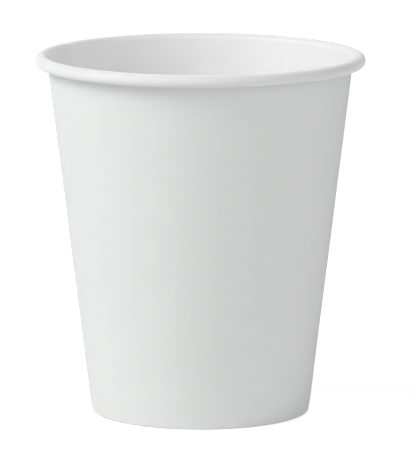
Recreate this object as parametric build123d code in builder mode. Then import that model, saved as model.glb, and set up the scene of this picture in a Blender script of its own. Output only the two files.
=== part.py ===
from build123d import *

import os
from math import asin, atan2, cos, degrees, sin

# Single-wall paper cup, in millimetres. The axis is Z and the foot stands on Z = 0.
rim_diameter = 80.0
cup_height = 87.4
foot_diameter = 52.9

# Paperboard, and the film of melted coating that seals the bottom into the wall.
wall_board = 0.40
bottom_board = 0.30
seal_film = 0.03

# Rolled brim: a half turn, then a tighter part turn tucked inside it round an open eye.
roll_eye_radius = 0.45
roll_clearance = 0.10
tuck_turn = 160

# Side seam: the blank's end climbs a ramp over its own beginning and laps it.
seam_plies = 2
lap_width = 7.0
ramp_width = 2.5
seam_angle = 150

# Foot: the wall is folded in and up into a hem that grips the bottom's skirt.
# The seam's plies are pressed into one at the fold, and part again over the press rise.
press_rise = 1.0
hem_rise = 4.2
fold_bulge = 0.04
hem_gap = 1.0
skirt_clearance = 0.25

full_turn = 360
half_turn = 180
quarter_turn = 90

# The tuck goes round the eye, and the roll passes outside the tuck with both plies of the seam.
seam_thickness = seam_plies * wall_board
tuck_radius = roll_eye_radius + seam_thickness
roll_radius = tuck_radius + (seam_thickness + roll_clearance) / 2

# The wall's outside runs from the foot, tangent to the inner side of the roll.
foot_point = Vector(foot_diameter / 2, 0)
roll_centre = Vector(rim_diameter / 2 - roll_radius, cup_height - roll_radius)
foot_to_roll = roll_centre - foot_point
wall_lean = atan2(foot_to_roll.X, foot_to_roll.Y) - asin((roll_radius - wall_board) / foot_to_roll.length)
lean_angle = degrees(wall_lean)
up_wall = Vector(sin(wall_lean), cos(wall_lean))
out_of_wall = Vector(cos(wall_lean), -sin(wall_lean))
tuck_centre = roll_centre + out_of_wall * (roll_radius - tuck_radius)


def on_wall(height, inset):
    """The point at a height on the line that lies inset from the wall's outside, towards the axis."""
    start = foot_point - out_of_wall * inset
    return start + up_wall * ((height - start.Y) / up_wall.Y)


# The pocket between wall and hem holds the bottom's skirt. Its floor is one board above the table.
pocket = bottom_board + 2 * seal_film
wall_corner = on_wall(wall_board, wall_board - fold_bulge)
hem_corner = on_wall(wall_board, wall_board + pocket + fold_bulge)
press_height = wall_board + press_rise
hem_height = press_height + hem_rise

# The bottom stands clear of the hem's edge, and its skirt ends clear of the pocket's floor.
bottom_height = hem_height + hem_gap
skirt_inset = wall_board + seal_film
skirt_corner = on_wall(bottom_height, skirt_inset + bottom_board)
skirt_end = wall_board + skirt_clearance

# The seam's widths are measured at the brim, and its edges follow the cone's own lines.
brim_radius = on_wall(roll_centre.Y, 0).X
lap_angle = degrees(lap_width / brim_radius)
ramp_angle = degrees(ramp_width / brim_radius)


def meridian(angle):
    """The plane through the cup's axis at an angle, with its own Y up the axis."""
    return Plane.XZ.rotated((0, 0, angle))


def wall_line(depth, stand_off):
    """One face of the wall's board, from the edge of the hem round to the edge of the tuck.

    depth goes into the board from its coated face, and stand_off lifts the board off the ply below.
    """
    lift = depth + stand_off
    hem_inset = wall_board + pocket + lift
    wall_inset = wall_board - lift
    below = Vector(0, -depth)
    with BuildLine() as line:
        Polyline(
            on_wall(hem_height, hem_inset),
            on_wall(press_height, hem_inset),
            hem_corner - out_of_wall * depth,
        )
        if depth:
            CenterArc(hem_corner, depth, half_turn - lean_angle, quarter_turn + lean_angle)
        Line(hem_corner + below, wall_corner + below)
        if depth:
            CenterArc(wall_corner, depth, -quarter_turn, quarter_turn - lean_angle)
        Polyline(
            wall_corner + out_of_wall * depth,
            on_wall(press_height, wall_inset),
            roll_centre - out_of_wall * (roll_radius - lift),
        )
        CenterArc(roll_centre, roll_radius - lift, half_turn - lean_angle, -half_turn)
        CenterArc(tuck_centre, tuck_radius - lift, -lean_angle, -tuck_turn)
    return line.line


def bottom_line(depth):
    """One face of the bottom's board, from its centre to the edge of the skirt, depth below its coated face."""
    radius = bottom_board - depth
    with BuildLine() as line:
        Line((0, bottom_height + radius), skirt_corner + Vector(0, radius))
        if radius:
            CenterArc(skirt_corner, radius, quarter_turn, -quarter_turn - lean_angle)
        Line(skirt_corner + out_of_wall * radius, on_wall(skirt_end, skirt_inset + depth))
    return line.line


def board_section(coated_face, plain_face):
    """The board between its two faces, closed by a cut edge at each end."""
    with BuildLine() as outline:
        add(coated_face)
        add(plain_face)
        Line(coated_face @ 0, plain_face @ 0)
        Line(coated_face @ 1, plain_face @ 1)
    return make_face(outline.edges(), mode=Mode.PRIVATE)


single_ply = board_section(wall_line(0, 0), wall_line(wall_board, 0))
lapped_ply = board_section(wall_line(0, wall_board), wall_line(wall_board, wall_board))
bottom_ply = board_section(bottom_line(0), bottom_line(bottom_board))

# Side wall: one ply nearly all the way round, then the ramp over its own start, then the lap.
with BuildPart() as sidewall:
    with BuildSketch(meridian(seam_angle)):
        add(single_ply)
    revolve(axis=Axis.Z, revolution_arc=full_turn - ramp_angle)
    with BuildSketch(meridian(seam_angle - ramp_angle)):
        add(single_ply)
    with BuildSketch(meridian(seam_angle)):
        add(lapped_ply)
    loft(ruled=True)
    with BuildSketch(meridian(seam_angle)):
        add(lapped_ply)
    revolve(axis=Axis.Z, revolution_arc=lap_angle)
sidewall.part.label = "sidewall"

# Bottom disc: a shallow tray turned over, with its skirt down in the foot's pocket.
with BuildPart() as bottom_disc:
    with BuildSketch(Plane.XZ):
        add(bottom_ply)
    revolve(axis=Axis.Z)
bottom_disc.part.label = "bottom_disc"

os.makedirs("parts", exist_ok=True)
export_step(sidewall.part, "parts/sidewall.step")
export_step(bottom_disc.part, "parts/bottom_disc.step")

print(f"wall leans {lean_angle:.2f} degrees, brim roll {2 * roll_radius:.2f} mm across")
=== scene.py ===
from math import asin, atan2, cos, degrees, pi, radians, sin, tau

import bmesh
import bpy
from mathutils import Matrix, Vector, noise


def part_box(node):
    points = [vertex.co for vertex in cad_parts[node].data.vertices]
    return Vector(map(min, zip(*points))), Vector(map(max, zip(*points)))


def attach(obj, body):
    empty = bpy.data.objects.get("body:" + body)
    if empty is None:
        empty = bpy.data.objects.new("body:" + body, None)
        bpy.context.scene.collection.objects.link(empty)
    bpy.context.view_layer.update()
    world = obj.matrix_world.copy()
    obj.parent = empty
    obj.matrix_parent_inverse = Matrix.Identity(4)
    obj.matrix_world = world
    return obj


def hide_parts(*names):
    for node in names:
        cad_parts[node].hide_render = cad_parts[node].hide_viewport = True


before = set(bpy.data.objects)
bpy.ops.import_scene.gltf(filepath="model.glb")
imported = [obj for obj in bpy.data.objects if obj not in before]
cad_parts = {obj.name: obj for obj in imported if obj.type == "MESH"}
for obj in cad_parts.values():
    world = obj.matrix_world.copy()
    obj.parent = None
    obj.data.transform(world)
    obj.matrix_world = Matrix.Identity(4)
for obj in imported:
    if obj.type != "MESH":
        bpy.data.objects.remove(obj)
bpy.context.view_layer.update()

mm = 0.001
wallLow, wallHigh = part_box("sidewall")
discLow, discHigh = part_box("bottom_disc")
cupHeight = wallHigh.z
rimRadius = (wallHigh.x - wallLow.x) / 2
print(f"frame: brim {2 * rimRadius / mm:.1f} mm across, cup {cupHeight / mm:.1f} mm high")


class Wire:  # a socket that takes part in sums: each operator adds its Math node
    def __init__(self, finish, socket):
        self.finish = finish
        self.socket = socket

    def maths(self, operation, first, second):
        return self.finish.node("ShaderNodeMath", {"operation": operation}, {0: first, 1: second})

    def __add__(self, other):
        return self.maths("ADD", self, other)

    def __sub__(self, other):
        return self.maths("SUBTRACT", self, other)

    def __rsub__(self, other):
        return self.maths("SUBTRACT", other, self)

    def __mul__(self, other):
        return self.maths("MULTIPLY", self, other)

    __radd__ = __add__
    __rmul__ = __mul__


# the paper's grain: the turns of its two layers of fibre, and how finely its noise is broken up
paperGrain = {
    "fibreTurns": (radians(24), radians(-58)), "fibreGain": 2, "detail": 3, "roughness": 0.6, "middle": 0.5,
}


class Finish:  # a node tree, and the one way to add a node to it
    def __init__(self, tree):
        self.tree = tree

    def node(self, kind, settings=None, sockets=None, output=0):
        made = self.tree.nodes.new(kind)
        for name, value in (settings or {}).items():
            setattr(made, name, value)
        for name, value in (sockets or {}).items():
            self.feed(made, name, value)
        return Wire(self, made.outputs[output])

    def feed(self, made, name, value):
        if isinstance(value, Wire):
            self.tree.links.new(value.socket, made.inputs[name])
        else:
            made.inputs[name].default_value = value

    def sheet(self):  # where a point lies on the flat blank, in metres
        return self.node("ShaderNodeAttribute", {"attribute_name": "sheet"}, output="Vector")

    def brimShade(self):  # 1 on the brim's roll, where the board is painted darker as shade, 0 on the rest of the board
        return self.node("ShaderNodeAttribute", {"attribute_name": "brimShade"}, output="Fac")

    def grain(self, place, scale, detail=2, roughness=0.5):
        return self.node("ShaderNodeTexNoise", None, {
            "Vector": place, "Scale": scale, "Detail": detail, "Roughness": roughness})

    def fibres(self, place, fine, long):  # two crossed layers of drawn-out grain
        layers = []
        for turn in paperGrain["fibreTurns"]:
            drawn = self.node("ShaderNodeMapping", None, {
                "Vector": place, "Rotation": (0, 0, turn), "Scale": (1 / fine, 1 / long, 1 / fine)})
            layers.append(self.grain(drawn, 1, paperGrain["detail"], paperGrain["roughness"]))
        return layers[0] * layers[1] * paperGrain["fibreGain"]

    def blend(self, factor, low, high):  # Mix's colour sockets are 6 and 7, its colour output 2
        return self.node("ShaderNodeMix", {"data_type": "RGBA"}, {0: factor, 6: low, 7: high}, output=2)

    def relief(self, *layers):  # bumps on bumps, the broadest first, each with its height in metres
        normal = None
        for height, depth in layers:
            sockets = {"Height": height, "Distance": depth, "Strength": 1}
            if normal:
                sockets["Normal"] = normal
            normal = self.node("ShaderNodeBump", None, sockets)
        return normal


def newFinish(name):
    material = bpy.data.materials.new(name)
    material.use_nodes = True
    return material, Finish(material.node_tree), material.node_tree.nodes["Principled BSDF"]


# the board lets a little light through, which softens its folds and its shaded side
glowThrough = {"weight": 0.5, "reach": 0.3 * mm}


def letLightThrough(finish, shader):
    finish.feed(shader, "Subsurface Weight", glowThrough["weight"])
    finish.feed(shader, "Subsurface Radius", (1, 1, 1))
    finish.feed(shader, "Subsurface Scale", glowThrough["reach"])


# uncoated board: matt and a little cloudy, with crossed fibres and a faint cockle
plainLook = {
    "light": (0.828, 0.839, 0.830, 1), "dark": (0.790, 0.801, 0.792, 1),
    "cloudScale": 260, "cockleScale": 90, "fibreFine": 0.11 * mm, "fibreLong": 0.7 * mm,
    "roughness": 0.84, "roughnessSpread": 0.08, "specular": 0.15,
    "fibreDepth": 0.022 * mm, "cockleDepth": 0.06 * mm, "cloudShare": 0.6, "fibreShare": 0.4,
}


def makePlainBoard(look):
    material, finish, shader = newFinish("plainBoard")
    place = finish.sheet()
    cloud = finish.grain(place, look["cloudScale"], paperGrain["detail"], paperGrain["roughness"])
    fibre = finish.fibres(place, look["fibreFine"], look["fibreLong"])
    cockle = finish.grain(place, look["cockleScale"], detail=1)
    mottle = cloud * look["cloudShare"] + fibre * look["fibreShare"]
    finish.feed(shader, "Base Color", finish.blend(mottle, look["dark"], look["light"]))
    uneven = (cloud - paperGrain["middle"]) * look["roughnessSpread"]
    finish.feed(shader, "Roughness", look["roughness"] + uneven)
    finish.feed(shader, "Normal", finish.relief((cockle, look["cockleDepth"]), (fibre, look["fibreDepth"])))
    finish.feed(shader, "Specular IOR Level", look["specular"])
    letLightThrough(finish, shader)
    return material


# coated board: the same sheet under a satin film, which follows only the larger fibres; its tone, lighter
# than the plain board's, is painted light that brightens the inside of the cup
# the brim's roll has a darker tone of the same board, painted shade, chosen to match the photograph
coatedLook = {
    "light": (0.940, 0.944, 0.939, 1), "dark": (0.922, 0.926, 0.921, 1), "brimShade": (0.818, 0.824, 0.818, 1),
    "cloudScale": 220, "peelScale": 900, "cockleScale": 110, "fibreFine": 0.2 * mm, "fibreLong": 0.9 * mm,
    "roughness": 0.44, "roughnessSpread": 0.14, "specular": 0.28,
    "fibreDepth": 0.009 * mm, "peelDepth": 0.008 * mm, "cockleDepth": 0.05 * mm,
}


def makeCoatedBoard(look):
    material, finish, shader = newFinish("coatedBoard")
    place = finish.sheet()
    cloud = finish.grain(place, look["cloudScale"], paperGrain["detail"], paperGrain["roughness"])
    fibre = finish.fibres(place, look["fibreFine"], look["fibreLong"])
    peel = finish.grain(place, look["peelScale"])
    cockle = finish.grain(place, look["cockleScale"], detail=1)
    # the coated tone sits above the plain board's: painted light for the cup's inside
    flat = finish.blend(cloud, look["dark"], look["light"])
    # the brim's roll is blended to a darker tone: painted shade
    finish.feed(shader, "Base Color", finish.blend(finish.brimShade(), flat, look["brimShade"]))
    uneven = (cloud - paperGrain["middle"]) * look["roughnessSpread"]
    finish.feed(shader, "Roughness", look["roughness"] + uneven)
    finish.feed(shader, "Normal", finish.relief(
        (cockle, look["cockleDepth"]), (peel, look["peelDepth"]), (fibre, look["fibreDepth"])))
    finish.feed(shader, "Specular IOR Level", look["specular"])
    letLightThrough(finish, shader)
    return material


# cut edge: raw fibre, a little warmer and rougher than the faces
edgeLook = {
    "light": (0.84, 0.83, 0.80, 1), "dark": (0.70, 0.68, 0.63, 1),
    "fibreFine": 0.06 * mm, "fibreLong": 0.3 * mm, "fibreDepth": 0.03 * mm,
    "roughness": 0.95, "specular": 0.1,
}


def makeCutEdge(look):
    material, finish, shader = newFinish("cutEdge")
    fibre = finish.fibres(finish.sheet(), look["fibreFine"], look["fibreLong"])
    finish.feed(shader, "Base Color", finish.blend(fibre, look["dark"], look["light"]))
    finish.feed(shader, "Normal", finish.relief((fibre, look["fibreDepth"])))
    finish.feed(shader, "Roughness", look["roughness"])
    finish.feed(shader, "Specular IOR Level", look["specular"])
    return material


boardFinishes = [makeCoatedBoard(coatedLook), makePlainBoard(plainLook), makeCutEdge(edgeLook)]
coatedFace, plainFace, cutFace = range(len(boardFinishes))
print("finishes: coated board, plain board, cut edge")


def spread(count):
    return [i / (count - 1) for i in range(count)]


def ease(low, high, value):  # 0 below low, 1 above high, smooth between
    t = min(max((value - low) / (high - low), 0), 1)
    return t * t * (3 - 2 * t)


# a step along a board's coated face is its place, the way into the board there, and its stretch's name
def straight(start, end, into, count, stretch):
    return [(start.lerp(end, t), into, stretch) for t in spread(count)]


def turned(centre, radius, begin, sweep, count, stretch, hollow=False):
    steps = []
    for t in spread(count):
        away = Vector((cos(begin + sweep * t), sin(begin + sweep * t)))
        steps.append((centre + away * radius, -away if hollow else away, stretch))
    return steps


def joined(*runs):
    line = list(runs[0])
    for run in runs[1:]:
        line += run[1:]
    return line


def lengths(line):
    totals = [0]
    for (here, *_), (there, *_) in zip(line, line[1:]):
        totals.append(totals[-1] + (there - here).length)
    return totals


def around(radius, height, angle):
    return Vector((radius * cos(angle), radius * sin(angle), height))


weldDistance = 0.0001 * mm


# a board from its columns, closed into a ring or left open
# a step of a column is its coated point, plain point, place on the blank, and 0 to 1 for the brim's roll,
# where painted shade darkens it
def boardMesh(name, columns, ring, cutEnds):
    shape = bmesh.new()
    sheetLayer = shape.verts.layers.float_vector.new("sheet")
    brimShadeLayer = shape.verts.layers.float.new("brimShade")
    grid = []
    for column in columns:
        faces = ([], [])
        for *points, place, brimShade in column:
            for face, point in zip(faces, points):
                vert = shape.verts.new(point)
                vert[sheetLayer] = place
                vert[brimShadeLayer] = brimShade
                face.append(vert)
        grid.append(faces)

    def skin(corners, finish):
        made = shape.faces.new(corners)
        made.material_index = finish
        made.smooth = True

    rows = len(columns[0])
    neighbours = list(zip(grid, grid[1:] + grid[:1] if ring else grid[1:]))
    for (coatedA, plainA), (coatedB, plainB) in neighbours:
        for i in range(rows - 1):
            skin((coatedA[i], coatedA[i + 1], coatedB[i + 1], coatedB[i]), coatedFace)
            skin((plainA[i], plainB[i], plainB[i + 1], plainA[i + 1]), plainFace)
        for i in cutEnds:
            skin((coatedA[i], coatedB[i], plainB[i], plainA[i]), cutFace)
    if not ring:
        for coated, plain in (grid[0], grid[-1]):
            for i in range(rows - 1):
                skin((coated[i], plain[i], plain[i + 1], coated[i + 1]), cutFace)
    bmesh.ops.remove_doubles(shape, verts=shape.verts, dist=weldDistance)
    bmesh.ops.recalc_face_normals(shape, faces=shape.faces)
    for edge in shape.edges:
        edge.smooth = len({face.material_index for face in edge.link_faces}) == 1
    mesh = bpy.data.meshes.new(name)
    shape.to_mesh(mesh)
    shape.free()
    for finish in boardFinishes:
        mesh.materials.append(finish)
    piece = bpy.data.objects.new(name, mesh)
    bpy.context.scene.collection.objects.link(piece)
    return piece


# the fold sizes of the cup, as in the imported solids, and the rounding of the foot's creases
fold = {
    "footRadius": 26.45 * mm, "board": 0.40 * mm, "bottomBoard": 0.30 * mm, "film": 0.03 * mm,
    "eyeRadius": 0.45 * mm, "rollGap": 0.10 * mm, "tuckTurn": radians(160),
    "hemTop": 5.6 * mm, "pressTop": 1.4 * mm, "crease": 0.05 * mm,
}
board = fold["board"]
tuckRadius = fold["eyeRadius"] + 2 * board  # room for both plies of the seam
rollRadius = tuckRadius + board + fold["rollGap"] / 2
rollCentre = Vector((rimRadius - rollRadius, cupHeight - rollRadius))
footPoint = Vector((fold["footRadius"], 0))
reach = rollCentre - footPoint
lean = atan2(reach.x, reach.y) - asin((rollRadius - board) / reach.length)
upWall = Vector((sin(lean), cos(lean)))
outOfWall = Vector((cos(lean), -sin(lean)))
tuckCentre = rollCentre + outOfWall * (rollRadius - tuckRadius)
pocket = fold["bottomBoard"] + 2 * fold["film"]


def onWall(height, inset):
    start = footPoint - outOfWall * inset
    return start + upWall * ((height - start.y) / upWall.y)


# wall, skirt and hem are drawn in a little together, most of all at the table: a guessed form
footPress = {"high": 3.4 * mm, "depth": 0.16 * mm, "bandMargin": 1 * mm}


def pressedIn(height):
    return footPress["depth"] * (1 - ease(0, footPress["high"], height))


sidewall = {
    "columns": 640, "seamAngle": radians(150), "lapWidth": 7.0 * mm, "rampWidth": 2.5 * mm,
    "weldGap": 0.01 * mm, "pinch": 0.1 * mm, "blankRadius": 32 * mm,
    "ridges": 100, "ridgeDepth": 0.13 * mm, "ridgeFade": 0.4 * mm,
    "ridgeLow": 1.7 * mm, "ridgeHigh": 5.2 * mm,
    "waveDepth": 0.05 * mm, "waveLength": 16 * mm, "waveFull": 20 * mm,
    "ovalDepth": 0.12 * mm, "ovalPhase": 0.7, "rollSlack": 0.03, "slackNoise": 2.5,
    # the turn over the roll across which the brim's painted shade grows
    "brimShadeTurn": (pi / 10, pi / 3),
}
wallSteps = {"hem": 12, "crease": 4, "fold": 2, "band": 12, "wall": 18, "roll": 17, "tuck": 9}


def wallLine():
    crease = fold["crease"]
    creaseHeight = board + crease
    hemTurn = onWall(creaseHeight, board + pocket - crease)
    wallTurn = onWall(creaseHeight, board + crease)
    down = Vector((0, -1))
    hemEdge = onWall(fold["hemTop"], board + pocket)
    bandTop = onWall(footPress["high"] + footPress["bandMargin"], board)
    rollStart = rollCentre - outOfWall * rollRadius
    return joined(
        straight(hemEdge, hemTurn - outOfWall * crease, -outOfWall, wallSteps["hem"], "hem"),
        turned(hemTurn, crease, pi - lean, pi / 2 + lean, wallSteps["crease"], "foot"),
        straight(hemTurn + down * crease, wallTurn + down * crease, down, wallSteps["fold"], "foot"),
        turned(wallTurn, crease, -pi / 2, pi / 2 - lean, wallSteps["crease"], "foot"),
        straight(wallTurn + outOfWall * crease, bandTop, outOfWall, wallSteps["band"], "wall"),
        straight(bandTop, rollStart, outOfWall, wallSteps["wall"], "wall"),
        turned(rollCentre, rollRadius, pi - lean, -pi, wallSteps["roll"], "roll", hollow=True),
        turned(tuckCentre, tuckRadius, -lean, -fold["tuckTurn"], wallSteps["tuck"], "tuck", hollow=True),
    )


def wallWave(angle, height):  # the wall is never quite true: slow dents, and a slightly oval mouth
    spot = around(rimRadius, height, angle) / sidewall["waveLength"]
    free = ease(footPress["high"], sidewall["waveFull"], height)
    oval = (1 - cos(2 * angle + sidewall["ovalPhase"])) / 2 * (height / cupHeight) ** 2
    return free * (noise.noise(spot) * sidewall["waveDepth"]) - oval * sidewall["ovalDepth"]


def hemRidge(angle, height):  # the serrated wheel that presses the hem leaves ridges on its inner face
    low, high, fade = sidewall["ridgeLow"], sidewall["ridgeHigh"], sidewall["ridgeFade"]
    band = ease(low, low + fade, height) * (1 - ease(high - fade, high, height))
    return band * sidewall["ridgeDepth"] * (0.5 - 0.5 * cos(sidewall["ridges"] * angle))


def brimShadeHere(place, stretch):  # the brim's painted shade: grows from 0 to 1 where the wall turns over into the brim
    turn = atan2(place.y - rollCentre.y, rollCentre.x - place.x) % tau
    return ease(*sidewall["brimShadeTurn"], turn) if stretch in ("roll", "tuck") else 0


def wallColumn(line, along, turn, climb):
    angle = sidewall["seamAngle"] + turn
    slack = sidewall["rollSlack"] * (0.5 + 0.5 * noise.noise(around(sidewall["slackNoise"], 0, angle)))
    column = []
    for (place, into, stretch), run in zip(line, along):
        free = 1 if stretch in ("roll", "tuck") else ease(board, fold["pressTop"], place.y)
        lift = climb * free * (board + sidewall["weldGap"])
        pinch = climb * (1 - free) * sidewall["pinch"]
        shift = wallWave(angle, place.y) - pressedIn(place.y)
        if stretch in ("roll", "tuck"):
            outward = ease(rollCentre.x - rollRadius, rollCentre.x, place.x)
            place = place + (rollCentre - place) * slack * outward
        points = []
        for depth in (lift + pinch, lift + board - pinch):
            spot = place + into * depth
            points.append([spot.x + shift, spot.y])
        if stretch == "hem":
            points[1][0] += hemRidge(angle, place.y)
        blank = Vector((turn * sidewall["blankRadius"], run, 0))
        column.append([around(*point, angle) for point in points] + [blank, brimShadeHere(place, stretch)])
    return column


def makeSidewall():
    line = wallLine()
    along = lengths(line)
    brimRadius = onWall(rollCentre.y, 0).x
    lap = sidewall["lapWidth"] / brimRadius
    ramp = sidewall["rampWidth"] / brimRadius
    columns = []
    for t in spread(sidewall["columns"]):
        turn = t * (tau + lap)
        columns.append(wallColumn(line, along, turn, ease(tau - ramp, tau, turn)))
    piece = boardMesh("sidewallSheet", columns, ring=False, cutEnds=(0, -1))
    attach(piece, "root")
    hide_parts("sidewall")
    print(f"side wall: {len(piece.data.polygons)} faces, leaning {degrees(lean):.2f} degrees")


makeSidewall()

bottom = {
    "columns": 360, "sag": 0.22 * mm,
    "grooveInset": 2.4 * mm, "grooveWidth": 0.5 * mm, "grooveDepth": 0.07 * mm,
    "pleats": 84, "pleatDepth": 0.05 * mm, "pleatReach": 3.0 * mm, "pleatUneven": 0.4, "pleatNoise": 4,
}
discSteps = {"middle": 12, "rim": 16, "corner": 7, "skirt": 8}


def discLine():
    plate = fold["bottomBoard"]
    under = discHigh.z - plate
    corner = onWall(under, board + fold["film"] + plate)
    top = corner.y + plate
    end = onWall(discLow.z, board + fold["film"])
    down = Vector((0, -1))
    inner = corner.x - 2 * bottom["grooveInset"]
    return joined(
        straight(Vector((0, top)), Vector((inner, top)), down, discSteps["middle"], "plate"),
        straight(Vector((inner, top)), Vector((corner.x, top)), down, discSteps["rim"], "plate"),
        turned(corner, plate, pi / 2, -pi / 2 - lean, discSteps["corner"], "corner", hollow=True),
        straight(corner + outOfWall * plate, end, -outOfWall, discSteps["skirt"], "skirt"),
    )


def discLift(radius, edge, angle):  # a sag in the middle, the sealing ring's groove, and pleats at the edge
    sag = bottom["sag"] * (1 - (radius / edge) ** 2)
    inset = edge - radius
    offGroove = abs(inset - bottom["grooveInset"])
    groove = bottom["grooveDepth"] * (1 - ease(0, bottom["grooveWidth"], offGroove))
    chance = noise.noise(around(bottom["pleatNoise"], 0, angle))
    uneven = 1 - bottom["pleatUneven"] + bottom["pleatUneven"] * chance
    pleat = bottom["pleatDepth"] * uneven * cos(bottom["pleats"] * angle)
    pleat *= 1 - ease(0, bottom["pleatReach"], inset)
    return -sag - groove + pleat


def makeBottom():
    line = discLine()
    along = lengths(line)
    edge = line[-1 - discSteps["skirt"]][0].x  # the corner's last step but one, near the disc's widest
    columns = []
    for i in range(bottom["columns"]):
        angle = tau * i / bottom["columns"]
        column = []
        for (place, into, stretch), run in zip(line, along):
            lift = discLift(place.x, edge, angle) if stretch == "plate" else 0
            shift = -pressedIn(place.y) if stretch != "plate" else 0
            points = []
            for depth in (0, fold["bottomBoard"]):
                spot = place + into * depth
                points.append(around(spot.x + shift, spot.y + lift, angle))
            column.append(points + [around(run, 0, angle), 0])
        columns.append(column)
    piece = boardMesh("bottomSheet", columns, ring=True, cutEnds=(-1,))
    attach(piece, "root")
    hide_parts("bottom_disc")
    print(f"bottom: {len(piece.data.polygons)} faces")


makeBottom()

# the photograph's view: its size and the cup's middle in pixels, the scale there, and the distance in metres
view = {
    "width": 416, "height": 450, "cupMiddle": (200.3, 231.75), "pixelsPerMetre": 4122,
    "distance": 1.4, "elevation": radians(9.45), "sensor": 36, "clipStart": 0.01,
}


def makeCamera():
    lens = bpy.data.cameras.new("photoLens")
    lens.sensor_width = view["sensor"]
    lens.lens = view["pixelsPerMetre"] * view["distance"] * view["sensor"] / view["height"]
    lens.clip_start = view["clipStart"]
    camera = bpy.data.objects.new("photoCamera", lens)
    back = Vector((0, -cos(view["elevation"]), sin(view["elevation"])))
    up = Vector((0, sin(view["elevation"]), cos(view["elevation"])))
    aside = (view["width"] / 2 - view["cupMiddle"][0]) / view["pixelsPerMetre"]
    above = (view["cupMiddle"][1] - view["height"] / 2) / view["pixelsPerMetre"]
    aim = Vector((aside, 0, cupHeight / 2)) + up * above
    camera.location = aim + back * view["distance"]
    camera.rotation_euler = back.to_track_quat("Z", "Y").to_euler()
    bpy.context.scene.collection.objects.link(camera)
    bpy.context.scene.camera = camera


makeCamera()

# soft studio light: azimuth counts from the camera's side, to the right
lamps = {
    "keyPanel": {"azimuth": -70, "elevation": 38, "distance": 2.4, "size": 1.6, "power": 43},
    "backPanel": {"azimuth": 180, "elevation": 45, "distance": 3.0, "size": 2.0, "power": 21},
}


def makeLamps():
    middle = Vector((0, 0, cupHeight / 2))
    for name, lamp in lamps.items():
        light = bpy.data.lights.new(name, "AREA")
        light.shape = "DISK"
        light.size = lamp["size"]
        light.energy = lamp["power"]
        piece = bpy.data.objects.new(name, light)
        azimuth, elevation = radians(lamp["azimuth"]), radians(lamp["elevation"])
        away = Vector((sin(azimuth) * cos(elevation), -cos(azimuth) * cos(elevation), sin(elevation)))
        piece.location = middle + away * lamp["distance"]
        piece.rotation_euler = away.to_track_quat("Z", "Y").to_euler()
        bpy.context.scene.collection.objects.link(piece)


def seenDirectly(finish):  # 1 for what the camera sees itself, or in a mirror or through glass
    path = finish.node("ShaderNodeLightPath")
    rays = path.socket.node.outputs
    shown = [Wire(finish, rays[name]) for name in ("Is Camera Ray", "Is Glossy Ray", "Is Transmission Ray")]
    total = shown[0] + shown[1] + shown[2]
    return finish.node("ShaderNodeMath", {"operation": "MINIMUM"}, {0: total, 1: 1.0})


# a room that is seen as white, and lights the cup from one side
room = {"tint": (1, 1, 1, 1), "fill": 1.11, "fillAzimuth": radians(38)}


def makeRoom():
    world = bpy.data.worlds.new("studio")
    bpy.context.scene.world = world
    world.use_nodes = True
    finish = Finish(world.node_tree)
    background = world.node_tree.nodes["Background"]
    shown = seenDirectly(finish)
    fillSide = (sin(room["fillAzimuth"]), -cos(room["fillAzimuth"]), 0)
    facing = finish.node("ShaderNodeVectorMath", {"operation": "DOT_PRODUCT"}, {
        0: finish.node("ShaderNodeTexCoord"), 1: fillSide}, output="Value")
    fill = finish.node("ShaderNodeMath", {"operation": "MAXIMUM"}, {0: facing, 1: 0.0}) * room["fill"]
    finish.feed(background, "Color", room["tint"])
    finish.feed(background, "Strength", shown + (1 - shown) * fill)


# a pale floor a hair below the cup, lifted towards white where it is seen directly
floorLook = {
    "colour": (0.88, 0.88, 0.88, 1), "darkShare": 0.98, "grainScale": 40, "grainDetail": 3,
    "roughness": 0.9, "specular": 0.1, "lift": 0.58, "size": 6, "drop": 0.02 * mm,
}


def makeFloor():
    material, finish, shader = newFinish("paleFloor")
    place = finish.node("ShaderNodeTexCoord", output="Object")
    grain = finish.grain(place, floorLook["grainScale"], floorLook["grainDetail"])
    tone = floorLook["colour"]
    dark = [c * floorLook["darkShare"] for c in tone[:3]] + [1]
    finish.feed(shader, "Base Color", finish.blend(grain, dark, tone))
    finish.feed(shader, "Roughness", floorLook["roughness"])
    finish.feed(shader, "Specular IOR Level", floorLook["specular"])
    lift = seenDirectly(finish) * floorLook["lift"]
    glow = finish.node("ShaderNodeEmission", None, {"Strength": lift})
    both = finish.node("ShaderNodeAddShader", None, {0: Wire(finish, shader.outputs[0]), 1: glow})
    finish.feed(material.node_tree.nodes["Material Output"], "Surface", both)
    half = floorLook["size"] / 2
    mesh = bpy.data.meshes.new("floor")
    corners = [(-half, -half), (half, -half), (half, half), (-half, half)]
    mesh.from_pydata([(x, y, -floorLook["drop"]) for x, y in corners], [], [(0, 1, 2, 3)])
    mesh.materials.append(material)
    floor = bpy.data.objects.new("floor", mesh)
    bpy.context.scene.collection.objects.link(floor)


makeLamps()
makeRoom()
makeFloor()
bpy.context.scene.view_settings.view_transform = "Standard"
print("camera, lamps, room and floor")
